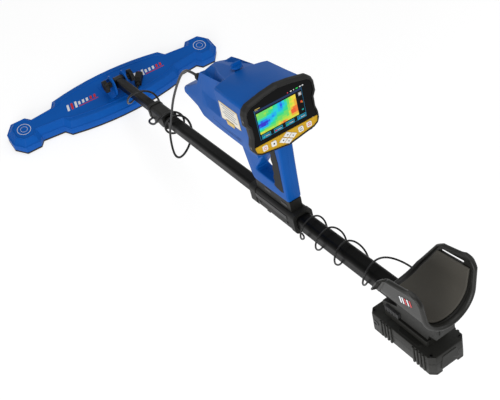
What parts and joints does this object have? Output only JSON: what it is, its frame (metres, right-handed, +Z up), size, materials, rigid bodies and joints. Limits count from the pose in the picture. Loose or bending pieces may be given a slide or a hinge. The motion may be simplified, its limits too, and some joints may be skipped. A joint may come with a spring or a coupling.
{
  "type": "metal detector",
  "caption": "Handheld ground metal detector: wide two-lobed coil on a telescopic rod, pistol grip under a screen housing, arm cuff over a slide-on battery case, coiled signal cables.",
  "frame": {"origin": "middle of the hand grip, where the closed hand holds the detector", "axes": "+Y forward towards the coil, +X to the user's right, +Z up, with the coil level; the rod falls forward at 22.08 degrees"},
  "size_m": [0.6606, 1.3246, 0.7114],
  "materials": {
    "blue_plastic": "fine-grained moulded, satin",
    "black_plastic": "fine-grained moulded",
    "tube_black": "black anodised",
    "grey_plastic": "matt",
    "yellow_plastic": "satin",
    "key_white": "satin",
    "rubber": "matt",
    "pad_brown": "matt foam",
    "cable_black": "smooth jacket",
    "steel": "zinc plated, darkened",
    "screen_glass": "polished",
    "screen_dark": "gloss",
    "board_green": "satin",
    "potted_winding": "potted",
    "cell_wrap": "shrink wrap"
  },
  "bodies": {
    "frame": {"rear_tube": "tube_black", "rod_clamp": "black_plastic", "clamp_strips": "grey_plastic", "clamp_screws": "steel", "clamp_lever_pin": "steel", "handle_left": "blue_plastic", "handle_right": "blue_plastic", "grip_insert_left": "rubber", "grip_insert_right": "rubber", "handle_screws": "steel", "control_box": "blue_plastic", "box_gland": "black_plastic", "screen_bezel": "black_plastic", "screen_glass": "screen_glass", "display_module": "screen_dark", "keypad_plate": "yellow_plastic", "keypad_mat": "rubber", "main_board": "board_green", "bezel_screws": "steel", "arm_cuff": "black_plastic", "cuff_pad": "pad_brown", "cuff_base": "black_plastic", "rear_cable": "cable_black", "coil_cable_rear": "cable_black"},
    "middle": {"middle_tube": "tube_black", "lock_sleeve": "black_plastic", "lock_lever_pin": "steel", "coil_cable_middle": "cable_black"},
    "lock_lever_body": {"lock_lever": "black_plastic"},
    "lower": {"lower_rod": "tube_black", "rod_end": "black_plastic", "slide_bush": "black_plastic", "coil_cable_front": "cable_black"},
    "coil": {"coil_shell": "blue_plastic", "coil_skid_plate": "black_plastic", "coil_windings": "potted_winding", "coil_yoke": "blue_plastic", "pivot_bolt": "black_plastic", "yoke_washers": "rubber", "coil_cable_outlet": "black_plastic"},
    "knob_left": {"yoke_knob_left": "black_plastic"},
    "knob_right": {"yoke_knob_right": "black_plastic"},
    "clamp_lever_body": {"clamp_lever": "black_plastic"},
    "cap": {"socket_cap": "blue_plastic"},
    "battery": {"battery_lid": "black_plastic", "battery_tub": "black_plastic", "battery_cells": "cell_wrap", "battery_screws": "steel", "charge_socket": "black_plastic"},
    "latch": {"battery_latch": "grey_plastic"},
    "key_power_body": {"key_power": "key_white"},
    "key_dot_body": {"key_dot": "key_white"},
    "key_up_body": {"key_up": "key_white"},
    "key_left_body": {"key_left": "key_white"},
    "key_right_body": {"key_right": "key_white"},
    "key_down_body": {"key_down": "key_white"},
    "key_loop_body": {"key_loop": "key_white"},
    "key_cancel_body": {"key_cancel": "key_white"}
  },
  "joints": [
    {"name": "middle_tube_slide", "type": "slide", "parent": "frame", "child": "middle", "axis": [0, 0.9267, -0.3759], "range_m": [-0.25, 0], "deforming": ["coil_cable_rear"]},
    {"name": "lower_rod_slide", "type": "slide", "parent": "middle", "child": "lower", "axis": [0, 0.9267, -0.3759], "range_m": [-0.15, 0], "deforming": ["coil_cable_middle"]},
    {"name": "coil_tilt", "type": "hinge", "parent": "lower", "child": "coil", "pos_m": [0, 0.75552, -0.43598], "axis": [1, 0, 0], "range_deg": [-45, 65], "deforming": ["coil_cable_front"]},
    {"name": "knob_left_turn", "type": "hinge", "parent": "coil", "child": "knob_left", "pos_m": [0, 0.75552, -0.43598], "axis": [1, 0, 0], "range_deg": [-360, 0]},
    {"name": "knob_right_turn", "type": "hinge", "parent": "coil", "child": "knob_right", "pos_m": [0, 0.75552, -0.43598], "axis": [1, 0, 0], "range_deg": [0, 360]},
    {"name": "lock_lever_open", "type": "hinge", "parent": "middle", "child": "lock_lever_body", "pos_m": [0, 0.51314, -0.36312], "axis": [1, 0, 0], "range_deg": [0, 100]},
    {"name": "clamp_lever_open", "type": "hinge", "parent": "frame", "child": "clamp_lever_body", "pos_m": [0, 0.02281, -0.16724], "axis": [1, 0, 0], "range_deg": [0, 100]},
    {"name": "socket_cap_turn", "type": "hinge", "parent": "frame", "child": "cap", "pos_m": [0, 0.15457, 0.12831], "axis": [0, 0.3759, 0.9267], "range_deg": [0, 60]},
    {"name": "battery_slide", "type": "slide", "parent": "frame", "child": "battery", "axis": [0, -0.9267, 0.3759], "range_m": [0, 0.16]},
    {"name": "battery_latch_press", "type": "slide", "parent": "frame", "child": "latch", "axis": [1, 0, 0], "range_m": [0, 0.002], "stiffness_N_per_m": 1500},
    {"name": "key_power_press", "type": "slide", "parent": "frame", "child": "key_power_body", "axis": [0, 0.9267, -0.3759], "range_m": [0, 0.0012], "stiffness_N_per_m": 1200},
    {"name": "key_dot_press", "type": "slide", "parent": "frame", "child": "key_dot_body", "axis": [0, 0.9267, -0.3759], "range_m": [0, 0.0012], "stiffness_N_per_m": 1200},
    {"name": "key_up_press", "type": "slide", "parent": "frame", "child": "key_up_body", "axis": [0, 0.9267, -0.3759], "range_m": [0, 0.0012], "stiffness_N_per_m": 1200},
    {"name": "key_left_press", "type": "slide", "parent": "frame", "child": "key_left_body", "axis": [0, 0.9267, -0.3759], "range_m": [0, 0.0012], "stiffness_N_per_m": 1200},
    {"name": "key_right_press", "type": "slide", "parent": "frame", "child": "key_right_body", "axis": [0, 0.9267, -0.3759], "range_m": [0, 0.0012], "stiffness_N_per_m": 1200},
    {"name": "key_down_press", "type": "slide", "parent": "frame", "child": "key_down_body", "axis": [0, 0.9267, -0.3759], "range_m": [0, 0.0012], "stiffness_N_per_m": 1200},
    {"name": "key_loop_press", "type": "slide", "parent": "frame", "child": "key_loop_body", "axis": [0, 0.9267, -0.3759], "range_m": [0, 0.0012], "stiffness_N_per_m": 1200},
    {"name": "key_cancel_press", "type": "slide", "parent": "frame", "child": "key_cancel_body", "axis": [0, 0.9267, -0.3759], "range_m": [0, 0.0012], "stiffness_N_per_m": 1200}
  ]
}
